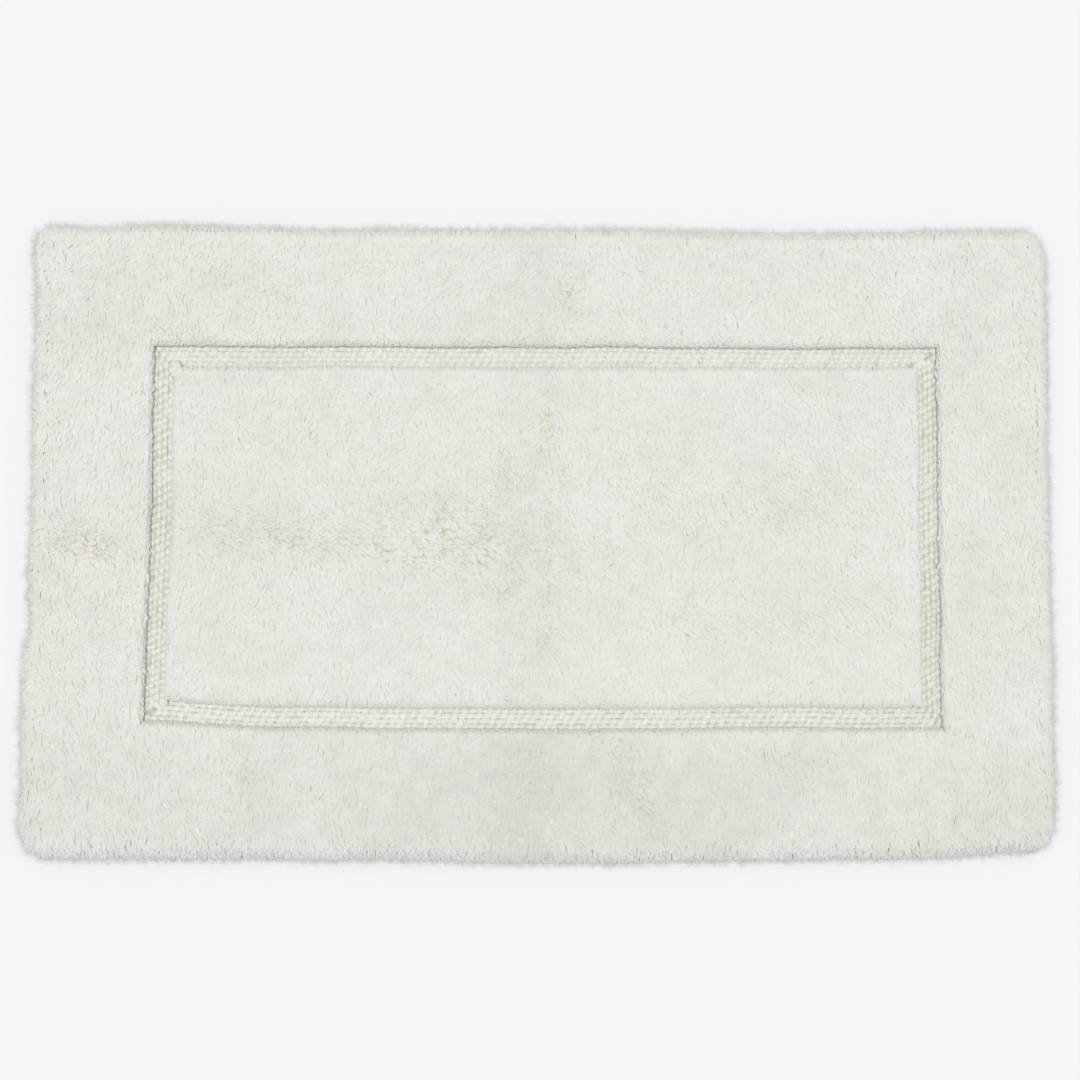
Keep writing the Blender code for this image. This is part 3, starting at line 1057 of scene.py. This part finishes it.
def loop_map(count):
    """UV corners of a row: a cell for each loop, and below them one for each face of the body."""
    levels = 0.2 + 0.78 * np.arange(LOOP_STEPS) / (LOOP_STEPS - 1)
    quads = tube_map(levels, LOOP_SIDES)[:, ::-1].reshape(-1, 2)
    turns = 2 * math.pi * np.arange(LOOP_SIDES) / LOOP_SIDES
    disc = np.stack([0.07 * np.cos(turns), 0.07 * np.sin(turns)], 1)
    parts = (quads, disc + (0.25, 0.09), disc[::-1] + (0.75, 0.09))
    laid = repeat_map(count, [part * 0.94 + 0.03 for part in parts])
    loops = laid * (1, 1 - BODY_SHARE) + (0, BODY_SHARE)
    cells = (BODY_STATIONS - 1) * 4 + 2
    columns = math.ceil(cells / 4)
    square = np.array([(0.1, 0.1), (0.9, 0.1), (0.9, 0.9), (0.1, 0.9)])
    number = np.arange(cells)
    corner = np.stack([number % columns, number // columns], 1)
    body = (corner[:, None] + square[None]) / (columns, 4 / BODY_SHARE)
    return np.concatenate([loops, body.reshape(-1, 2)])


def loop_row(side, row):
    low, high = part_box(f"loop_row_front_{row}")
    inset, width = half_y + low.y, high.y - low.y
    half_along, half_across = half_sizes(side)
    reach = half_along - inset - width / 2
    middle = -(half_across - inset - width / 2)
    slide = -middle if side in ("front", "back") else middle
    pairs = np.arange(-80, 81) * PAIR_PITCH + slide
    places = np.sort(np.concatenate([pairs - PAIR_HALF, pairs + PAIR_HALF]))
    places = places[abs(places) < reach]
    count = len(places)
    draw = chance(200 + 10 * SIDES.index(side) + row)
    feet = np.full((count, 3), pile_foot)
    feet[:, 0] = places + draw.normal(0, 0.3 * MM, count)
    feet[:, 1] = middle + draw.normal(0, 0.25 * MM, count)
    shapes = loop_shape(300 + 10 * SIDES.index(side) + row, count)
    loops = (shapes + feet[:, None, None]).reshape(-1, 3)
    top = loop_top - BODY_DEPTH
    profile = [(inset, pile_foot), (inset + width, pile_foot), (inset + width, top), (inset, top)]
    body, body_faces = bar_along(side, profile, BODY_STATIONS)
    points = np.concatenate([turn_side(loops, side), body])
    faces = loop_faces(count) + [part + len(loops) for part in body_faces]
    replaced = [f"loop_row_{side}_{row}"]
    piece = make_piece(f"loops_{side}_{row}", points, faces, loop_pile, "loop_pile", replaced)
    tone = np.repeat(draw.uniform(-1, 1, count), LOOP_STEPS * LOOP_SIDES)
    # Painted shade: the lower points of the loops and their body take the darker foot colour.
    add_numbers(
        piece,
        along=np.clip(1 - (loop_top - points[:, 2]) / LOOP_RADIUS, 0, 1),
        tone=np.append(tone, np.zeros(len(body))),
        warm=np.full(len(points), SIDE_CLEFT_SHADE[side]),
    )
    add_map(piece, loop_map(count))
    return count
loops = [loop_row(side, row) for side in SIDES for row in (1, 2, 3, 4)]
print("loops:", sum(loops))

# %% [markdown]
# ## Loose fibres
# Cotton sheds. Fine ends stand out all round the edge, which is why its outline looks feathered,
# and others lie over the pile. They are made with the yarn's own functions, only thinner.

# %% Fibres
FIBRE = (((0.35, 1.0), (0.72, 0.8)), 3, 1.0)
EDGE_FIBRES = 16500
TOP_FIBRES = 9000
FIBRE_RADIUS = 0.11 * MM


def fibre_piece(name, chosen, reach, spread, seed):
    """Fibres that start among the chosen yarns and run on past their tips."""
    draw = chance(seed)
    number = len(chosen)
    starts = tips[chosen] + draw.normal(0, 0.8 * MM, (number, 3))
    heading = directions[chosen] + normals[chosen] * 0.25 + draw.normal(0, spread, (number, 3))
    heading = unit(heading)
    long = draw.uniform(0.45, 1.0, number) ** 1.5 * reach
    ends = starts + heading * long[:, None]
    radii = FIBRE_RADIUS * draw.uniform(0.7, 1.3, number)
    bends = draw.normal(0, 0.22, (number, 3)) * long[:, None]
    turns = draw.uniform(0, math.pi, number)
    points = yarn_points(ends, heading, long + 2 * MM, radii, bends, turns, FIBRE)[0]
    points[:, :, 2] = np.clip(points[:, :, 2], 0.2 * MM, pile_top + 3 * MM)
    per_fibre = points.shape[1]
    piece = make_piece(name, points.reshape(-1, 3), yarn_faces(number, FIBRE), cut_pile, "cut_pile")
    add_numbers(
        piece,
        along=np.ones(number * per_fibre),
        tone=np.repeat(draw.uniform(-1, 0, number), per_fibre),
        warm=np.repeat(parted[chosen], per_fibre) * 0.3,
    )
    add_map(piece, yarn_map(number, FIBRE))
    around = unit(normals[chosen] + (0, 0, 1.6))
    piece.data.normals_split_custom_set_from_vertices(np.repeat(around, per_fibre, 0))


draw = chance(400)
outer_edge = np.flatnonzero((upright < 0.93) & ~in_channel)
fibre_piece("edge_fibres", draw.choice(outer_edge, EDGE_FIBRES), 7.5 * MM, 0.45, 401)
fibre_piece("top_fibres", draw.choice(len(tips), TOP_FIBRES), 7.0 * MM, 0.35, 402)
print("loose fibres:", EDGE_FIBRES + TOP_FIBRES)

# %% [markdown]
# ## The ground cloth
# All the yarn is tufted through one plain-woven cloth. A weave is a chequer of over and under, which
# two waves make between them: where their product is high, one thread is on top.


# %% Cloth finish
def wave(finish, axis, thread):
    """A smooth wave along X or Y of the mat, with one crest to each thread width."""
    place = finish.node("ShaderNodeSeparateXYZ", {}, {0: finish.place()}, output=axis)
    return finish.sine(place * (math.pi / thread))


def woven(name, light, dark, thread):
    finish = Finish(name, Roughness=0.9, Specular_IOR_Level=0.25)
    over = wave(finish, "X", thread) * wave(finish, "Y", thread)
    slub = finish.noise(240.0, 2.0, (1, 0.15, 1))
    finish.feed(Base_Color=finish.blend(dark, light, over * 0.5 + slub, 0.15, 0.85))
    finish.bumps(over, 0.3 * MM)
    return finish.material


def herringbone(name, light, dark, pitch, rib):
    """Tape whose ribs change slant from one narrow stripe to the next."""
    finish = Finish(name, Roughness=0.88, Specular_IOR_Level=0.3)
    along, across = finish.number("run"), finish.number("across")
    stripe = finish.node("ShaderNodeMath", {"operation": "PINGPONG"}, {0: across, 1: pitch})
    ribs = finish.sine((along + stripe) * (2 * math.pi / rib))
    fluff = finish.noise(300.0)
    finish.feed(Base_Color=finish.blend(dark, light, ribs * 0.4 + fluff, 0.1, 0.9))
    finish.bumps(ribs, 0.35 * MM)
    return finish.material


def flat_block(node, step):
    """Cells over a node's whole box, and its two heights."""
    low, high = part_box(node)
    return steps_between(low.x, high.x, step), steps_between(low.y, high.y, step), low.z, high.z


FLAT_CELL = 8 * MM
ground_finish = woven("ground_weave_cotton", shade(222, 216, 198), shade(170, 160, 136), 1.1 * MM)
xs, ys, bottom, top = flat_block("ground_cloth", FLAT_CELL)
cloth = cell_block(xs, ys, bottom, top)
ground = make_piece("ground_weave", *cloth, ground_finish, "ground_cloth", ["ground_cloth"], False)
print("ground cloth:", round((xs[-1] - xs[0]) / MM), "by", round((ys[-1] - ys[0]) / MM), "mm")

# %% [markdown]
# ## The latex back
# Latex is spread on the back to lock the yarn's feet and to grip the floor. It dries with a fine
# pebbled skin, through which the rows of tufting show as faint ridges. The care label lies in a
# notch at the edge of the coat, so the cells of that notch are left out.


# %% Latex
def latex_finish():
    finish = Finish("latex_skin", Roughness=0.55, Specular_IOR_Level=0.45)
    rows = wave(finish, "Y", ROW_PITCH)
    pebble = finish.noise(900.0, 3.0)
    patch = finish.noise(14.0, 3.0)
    body = finish.blend(shade(214, 205, 180), shade(228, 221, 200), patch, 0.35, 0.65)
    finish.feed(Base_Color=finish.blend(body, shade(196, 186, 158), pebble, 0.55, 0.8))
    finish.feed(Roughness=pebble * 0.25 + 0.42)
    finish.bumps(pebble * 0.5 + rows * 0.35, 0.35 * MM)
    return finish.material


label_low, label_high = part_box("care_label")
NOTCH_GAP = 0.3 * MM
xs, ys, bottom, top = flat_block("latex_backing", FLAT_CELL)
notch = (label_low.x - NOTCH_GAP, label_high.x + NOTCH_GAP, label_low.y - NOTCH_GAP)
xs = np.unique(np.concatenate([xs[(xs < notch[0] - MM) | (xs > notch[1] + MM)], notch[:2]]))
ys = np.unique(np.append(ys[abs(ys - notch[2]) > MM], notch[2]))
middle_x, middle_y = (xs[1:] + xs[:-1]) / 2, (ys[1:] + ys[:-1]) / 2
in_notch = ((middle_x > notch[0]) & (middle_x < notch[1]))[:, None] & (middle_y > notch[2])[None]
coat = cell_block(xs, ys, bottom, top, ~in_notch)
make_piece("latex_coat", *coat, latex_finish(), "latex", ["latex_backing"], False)
print("latex cells:", int((~in_notch).sum()))

# %% [markdown]
# ## Hem tape and its seam
# Four lengths of herringbone tape are mitred at the corners and sewn down through the cloth. The
# needle thread lies on the cloth, under the pile, and the bobbin thread shows below, in the groove
# that it has pulled into the tape.

# %% Hem tapes
tape_low, tape_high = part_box("hem_tape_front")
tape_inset = half_y + tape_low.y
tape_width = tape_high.y - tape_low.y
seam_low, seam_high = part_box("seam_bobbin_thread")
thread_width = 0.8 * MM
seam_inset = half_y + seam_low.y + thread_width / 2
SELVEDGE = 0.25 * MM
TAPE_STATIONS = 49
tape_finish = herringbone(
    "hem_tape_herringbone", shade(232, 228, 214), shade(190, 182, 160), 3.3 * MM, 1.3 * MM
)


def tape_profile():
    """Rounded edges, and a groove below for the bobbin thread."""
    outer, inner = tape_inset, tape_inset + tape_width
    low, high = tape_low.z, tape_high.z
    groove = (-0.7 * MM, -0.35 * MM, 0.35 * MM, 0.7 * MM)
    depth = (0, 0.7 * MM, 0.7 * MM, 0)
    profile = [(outer, low + SELVEDGE), (outer + SELVEDGE, low)]
    profile += [(seam_inset + place, low + rise) for place, rise in zip(groove, depth, strict=True)]
    profile += [(inner - SELVEDGE, low), (inner, low + SELVEDGE), (inner, high - SELVEDGE)]
    return profile + [(inner - SELVEDGE, high), (outer + SELVEDGE, high), (outer, high - SELVEDGE)]


def hem_tape(side):
    points, faces = bar_along(side, tape_profile(), TAPE_STATIONS)
    replaced = [f"hem_tape_{side}"]
    piece = make_piece(f"tape_{side}", points, faces, tape_finish, "hem_tape", replaced, False)
    plain = turn_side(points, SIDES[-SIDES.index(side)])
    add_numbers(piece, run=plain[:, 0], across=plain[:, 1])
    half_along = half_sizes(side)[0]
    flat = (2 * (half_along - tape_inset), tape_width)


for side in SIDES:
    hem_tape(side)
print("tape:", round(tape_width / MM, 1), "mm wide")

# %% Seams
STITCH = (((0.12, 0.75), (0.5, 1.0), (0.88, 0.75)), 6, 0.5)
STITCH_LENGTH = 3.2 * MM
STITCH_SHARE = 0.92


def seam(name, height, seed, node):
    """A ring of stitches, each a short flat strand that tapers to a point at both ends."""
    total = ring_length(seam_inset, CORNER)
    count = int(total / STITCH_LENGTH)
    ring, outward = ring_places(seam_inset, CORNER, np.arange(count) / count * total)
    heading = np.column_stack([-outward[:, 1], outward[:, 0], np.zeros(count)])
    heading = unit(heading + chance(seed).normal(0, 0.03, heading.shape) * (1, 1, 0))
    middles = np.column_stack([ring, np.full(count, height)])
    ends = middles + heading * STITCH_LENGTH * (STITCH_SHARE / 2)
    lengths, radii = np.full(count, STITCH_LENGTH * STITCH_SHARE), np.full(count, thread_width / 2)
    bends, turns = np.zeros((count, 3)), np.zeros(count)
    points = yarn_points(ends, heading, lengths, radii, bends, turns, STITCH)[0].reshape(-1, 3)
    piece = make_piece(name, points, yarn_faces(count, STITCH), thread_finish, "seam_thread", [node])
    add_map(piece, yarn_map(count, STITCH))
    return count


def sewing_thread():
    finish = Finish("sewing_thread", Roughness=0.6, Specular_IOR_Level=0.4, Sheen_Weight=0.2)
    light, dark = shade(244, 243, 236), shade(222, 219, 208)
    finish.feed(Base_Color=finish.blend(dark, light, finish.noise(1500.0, 1.0), 0.3, 0.7))
    return finish.material


thread_finish = sewing_thread()
needle_low, needle_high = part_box("seam_needle_thread")
stitches = seam("needle_stitches", (needle_low.z + needle_high.z) / 2, 501, "seam_needle_thread")
stitches += seam("bobbin_stitches", (seam_low.z + seam_high.z) / 2, 502, "seam_bobbin_thread")
print("stitches:", stitches)

# %% [markdown]
# ## Care label
# A short satin ribbon, left blank. Satin has long floating threads, so it is ribbed one way only and
# a little glossy.


# %% Label
def satin():
    finish = Finish("label_satin", Roughness=0.38, Specular_IOR_Level=0.5, Sheen_Weight=0.1)
    ribs = wave(finish, "X", 0.35 * MM)
    finish.feed(Base_Color=finish.blend(shade(226, 226, 222), shade(246, 246, 243), ribs, -0.8, 0.8))
    finish.bumps(ribs, 0.08 * MM)
    return finish.material


xs, ys, bottom, top = flat_block("care_label", 2 * MM)
ribbon = cell_block(xs, ys, bottom, top)
label = make_piece("blank_label", *ribbon, satin(), "label", ["care_label"], False)
print("label:", round((xs[-1] - xs[0]) / MM), "by", round((ys[-1] - ys[0]) / MM), "mm")

# %% [markdown]
# ## Stage, light and camera
# A pale floor, a bright even room and one broad lamp nearly overhead, a little to the front and
# left, so that the edges and the clefts are only a little darker than the tips. The camera is high
# above, tipped a few degrees towards the front.

# %% Stage
FLOOR_HALF = 3
FLOOR_DROP = 0.2 * MM


def add_floor():
    corners = np.array([(-1, -1, 0), (1, -1, 0), (1, 1, 0), (-1, 1, 0)], float) * FLOOR_HALF
    mesh = make_mesh("floor", corners - (0, 0, FLOOR_DROP), [np.array([[0, 1, 2, 3]])])
    finish = Finish("floor_paint", Roughness=0.9, Specular_IOR_Level=0.0)
    finish.feed(Base_Color=finish.mix(shade(246, 246, 246), shade(247, 247, 247), finish.noise(3.0)))
    mesh.materials.append(finish.material)
    floor = bpy.data.objects.new("floor", mesh)
    show(floor)


def add_room(brightness):
    world = bpy.data.worlds.new("room")
    world.use_nodes = True
    inputs = world.node_tree.nodes["Background"].inputs
    inputs["Color"].default_value = (1, 1, 1, 1)
    inputs["Strength"].default_value = brightness
    bpy.context.scene.world = world


def aim(thing, place, target):
    thing.location = place
    thing.rotation_euler = (Vector(target) - Vector(place)).to_track_quat("-Z", "Y").to_euler()
    show(thing)


def add_sky_lamp(name, place, spread, strength):
    """A lamp as wide as a studio ceiling, far enough away to light the floor evenly."""
    lamp = bpy.data.lights.new(name, "SUN")
    lamp.angle = math.radians(spread)
    lamp.energy = strength
    aim(bpy.data.objects.new(name, lamp), place, (0, 0, 0))


TILT = math.radians(7)
DISTANCE = 2.44
VIEW_WIDTH = 0.8467
SENSOR = 36
camera = bpy.data.cameras.new("camera")
camera.sensor_width = SENSOR
camera.lens = SENSOR * DISTANCE / VIEW_WIDTH
eye = (0.0, -DISTANCE * math.sin(TILT), DISTANCE * math.cos(TILT))
holder = bpy.data.objects.new("camera", camera)
aim(holder, eye, (0.0, 0.0, 0.012))
bpy.context.scene.camera = holder
bpy.context.scene.view_settings.view_transform = "Standard"
add_floor()
add_room(brightness=0.22)
add_sky_lamp("ceiling", (-0.05, -0.15, 2.0), spread=26, strength=0.775 * math.pi)
print("lens:", round(camera.lens, 1), "mm")
